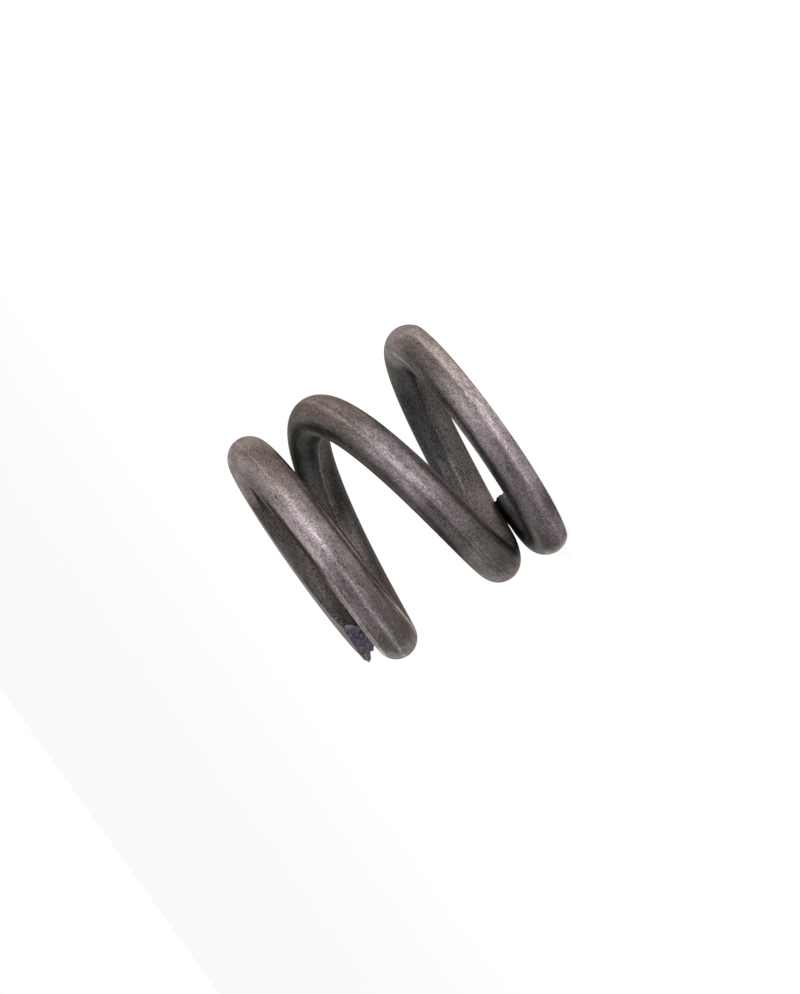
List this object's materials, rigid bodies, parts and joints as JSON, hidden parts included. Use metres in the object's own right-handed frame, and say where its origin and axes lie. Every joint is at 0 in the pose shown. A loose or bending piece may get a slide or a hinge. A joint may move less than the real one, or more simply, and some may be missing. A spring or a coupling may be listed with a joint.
{
  "type": "clutch spring",
  "caption": "Short compression spring of thick round wire, closed and ground flat at both ends, that presses a clutch's plates together.",
  "frame": {"origin": "on the coil axis, in the plane of the lower ground face that the spring stands on", "axes": "+Z along the coil axis, from the lower ground face to the upper one; the picture was taken from the -Y side; the upper tip points 144 degrees anticlockwise from +X as seen from above"},
  "size_m": [0.039, 0.039, 0.0325],
  "materials": {
    "wire": "oil-tempered spring steel, dark brown-grey satin scale, bare grey where the ends are ground and sheared"
  },
  "bodies": {
    "root": {"coil_spring": "wire"}
  },
  "joints": []
}
